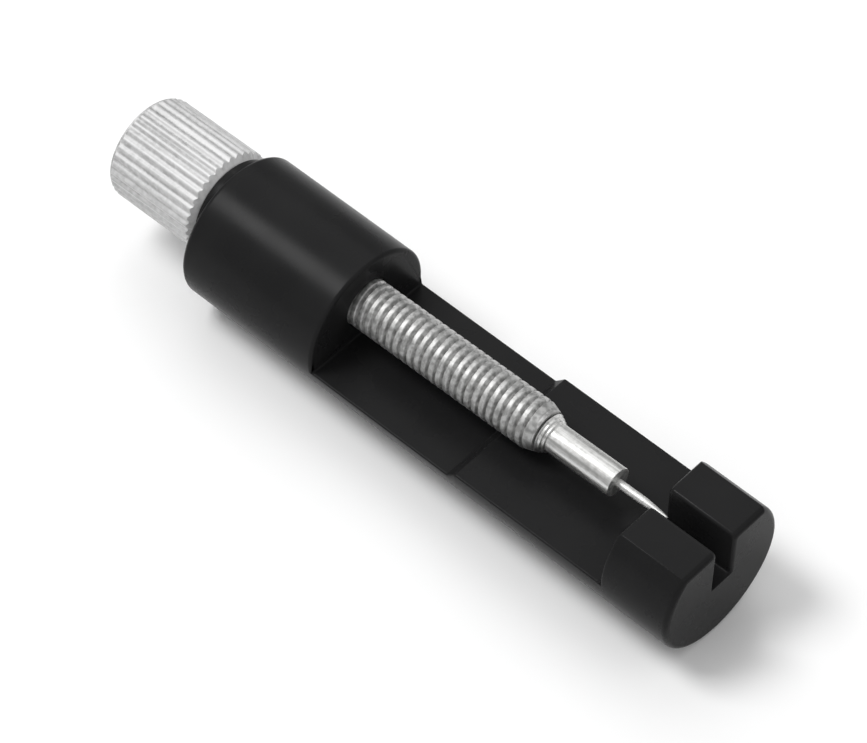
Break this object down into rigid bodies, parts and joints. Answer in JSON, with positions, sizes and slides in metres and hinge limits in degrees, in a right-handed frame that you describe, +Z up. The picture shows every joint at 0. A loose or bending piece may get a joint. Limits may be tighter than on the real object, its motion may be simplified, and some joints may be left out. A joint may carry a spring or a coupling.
{
  "type": "spring bar tool",
  "caption": "Pen-type watch band pin remover: knurled thumbscrew drives a thin pin along a half-round bed into a slotted pair of jaws.",
  "frame": {"origin": "under the middle of the tool's length, at the height of the body's underside", "axes": "+X along the tool from the thumb knob to the jaws, +Z up out of the bed, +Y to the left of that direction"},
  "size_m": [0.0568, 0.012, 0.012],
  "materials": {
    "body_plastic": "black, fine satin moulded surface",
    "screw_nickel": "nickel plated rolled thread, satin",
    "knob_metal": "bright satin, straight knurled",
    "holder_nickel": "nickel plated, fine turned",
    "pin_steel": "bright hardened steel"
  },
  "bodies": {
    "frame": {"body": "body_plastic"},
    "pin": {"drive_pin": "pin_steel"},
    "screw": {"lead_screw": "screw_nickel", "thumb_knob": "knob_metal", "pin_holder": "holder_nickel"}
  },
  "joints": [
    {"name": "screw_advance", "type": "slide", "parent": "frame", "child": "pin", "axis": [0.9998, 0, 0.0175], "range_m": [-0.024, 0]},
    {"name": "screw_turn", "type": "hinge", "parent": "pin", "child": "screw", "pos_m": [-0.01899, 0, 0.0077], "axis": [0.9998, 0, 0.0175], "range_deg": [-12343, 0]}
  ],
  "couplings": [
    {"joint": "screw_turn", "follows": "screw_advance", "rad_per_m": 8976}
  ]
}
